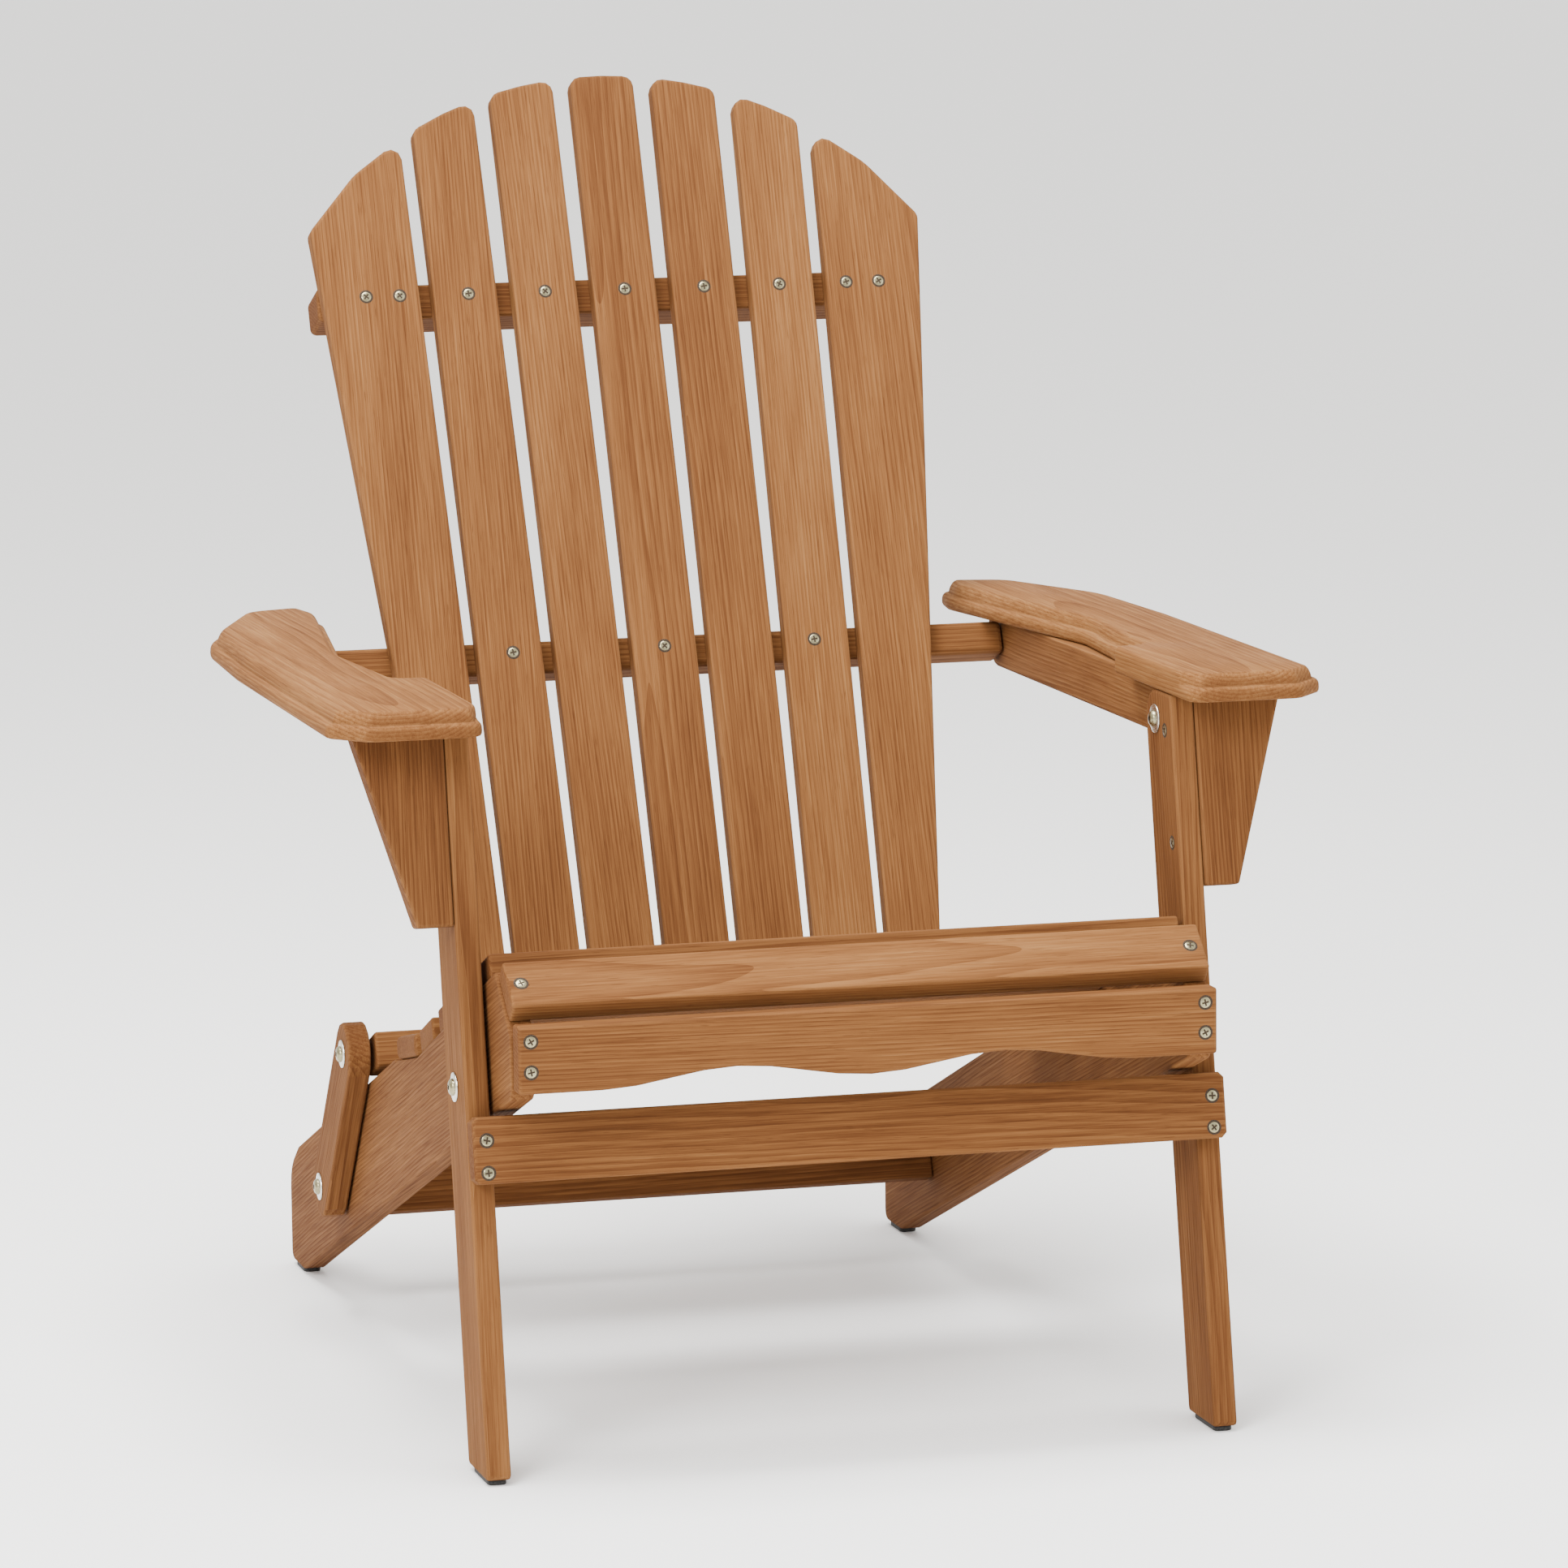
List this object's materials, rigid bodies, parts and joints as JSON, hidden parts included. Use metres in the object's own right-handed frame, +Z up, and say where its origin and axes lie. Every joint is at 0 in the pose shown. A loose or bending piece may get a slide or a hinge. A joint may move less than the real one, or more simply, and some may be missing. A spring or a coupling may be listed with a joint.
{
  "type": "adirondack chair",
  "caption": "Folding wooden adirondack chair with a fanned slatted back, wide curved arms and a slatted seat on sloping stringers.",
  "frame": {"origin": "on the floor under the middle of the chair's bounding box", "axes": "+Z up, the sitter faces -Y, +X to the sitter's left"},
  "size_m": [0.77, 0.8496, 0.9953],
  "materials": {
    "stained_wood": "satin brown stain, straight grain",
    "zinc_steel": "yellow zinc plate",
    "black_plastic": "matte black"
  },
  "bodies": {
    "seat_frame": {"apron": "stained_wood", "leg_bolt_left": "zinc_steel", "leg_bolt_right": "zinc_steel", "leg_nut_left": "zinc_steel", "leg_nut_right": "zinc_steel", "leg_spacer_left": "zinc_steel", "leg_spacer_right": "zinc_steel", "link_bolt_left": "zinc_steel", "link_bolt_right": "zinc_steel", "link_nut_left": "zinc_steel", "link_nut_right": "zinc_steel", "link_spacer_left": "zinc_steel", "link_spacer_right": "zinc_steel", "rear_bumper_left": "black_plastic", "rear_bumper_right": "black_plastic", "rear_glide_left": "black_plastic", "rear_glide_right": "black_plastic", "rear_stretcher": "stained_wood", "seat_rear_bar": "stained_wood", "seat_slat_1": "stained_wood", "seat_slat_2": "stained_wood", "seat_slat_3": "stained_wood", "seat_slat_4": "stained_wood", "seat_slat_5": "stained_wood", "stringer_left": "stained_wood", "stringer_right": "stained_wood"},
    "front_legs": {"arm_bolt_left": "zinc_steel", "arm_bolt_right": "zinc_steel", "bracket_left": "stained_wood", "bracket_right": "stained_wood", "front_glide_left": "black_plastic", "front_glide_right": "black_plastic", "front_leg_left": "stained_wood", "front_leg_right": "stained_wood", "front_stretcher": "stained_wood"},
    "arms": {"arm_left": "stained_wood", "arm_nut_left": "zinc_steel", "arm_nut_right": "zinc_steel", "arm_rail_left": "stained_wood", "arm_rail_right": "stained_wood", "arm_rear_bolt_left": "zinc_steel", "arm_rear_bolt_right": "zinc_steel", "arm_right": "stained_wood"},
    "back": {"back_bolt_left": "zinc_steel", "back_bolt_right": "zinc_steel", "back_slat_1": "stained_wood", "back_slat_2": "stained_wood", "back_slat_3": "stained_wood", "back_slat_4": "stained_wood", "back_slat_5": "stained_wood", "back_slat_6": "stained_wood", "back_slat_7": "stained_wood", "lower_rail": "stained_wood", "mid_rail": "stained_wood", "upper_batten": "stained_wood"},
    "links": {"link_left": "stained_wood", "link_right": "stained_wood"}
  },
  "joints": [
    {"name": "leg_fold", "type": "hinge", "parent": "seat_frame", "child": "front_legs", "pos_m": [0, -0.31525, 0.285], "axis": [1, 0, 0], "range_deg": [0, 80]},
    {"name": "link_fold", "type": "hinge", "parent": "seat_frame", "child": "links", "pos_m": [0, 0.20075, 0.11], "axis": [1, 0, 0], "range_deg": [-42.6, 0]},
    {"name": "back_fold", "type": "hinge", "parent": "links", "child": "back", "pos_m": [0, 0.10075, 0.237], "axis": [1, 0, 0], "range_deg": [0, 128.6]},
    {"name": "arm_fold", "type": "hinge", "parent": "back", "child": "arms", "pos_m": [0, 0.21151, 0.5304], "axis": [1, 0, 0], "range_deg": [-83.59, 0]}
  ],
  "couplings": [
    {"joint": "link_fold", "follows": "leg_fold", "ratio": -0.5324},
    {"joint": "back_fold", "follows": "leg_fold", "ratio": 1.6074},
    {"joint": "arm_fold", "follows": "leg_fold", "ratio": -1.0448}
  ]
}
